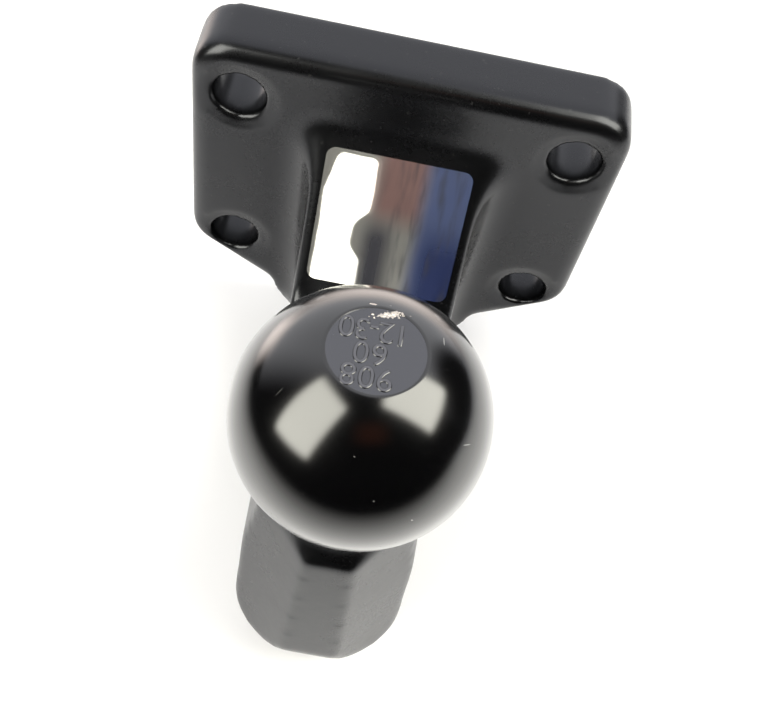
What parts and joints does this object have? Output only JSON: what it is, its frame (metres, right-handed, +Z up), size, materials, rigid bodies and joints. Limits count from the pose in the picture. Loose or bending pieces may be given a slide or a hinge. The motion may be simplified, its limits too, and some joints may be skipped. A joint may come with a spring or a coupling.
{
  "type": "flange tow ball",
  "caption": "Forged swan neck with a coupling ball on its end, growing out of a flat bolt-on flange, with a foil label on the arm.",
  "frame": {"origin": "centre of the bolt hole pattern, on the flange's rear face", "axes": "+Y into the vehicle, at right angles to the flange's rear face, with the ball towards -Y; +Z up; +X to the right seen from behind the vehicle"},
  "size_m": [0.1076, 0.129, 0.1272],
  "materials": {
    "black_paint": "gloss",
    "foil": "satin"
  },
  "bodies": {
    "root": {"tow_ball_forging": "black_paint", "foil_label": "foil"}
  },
  "joints": []
}
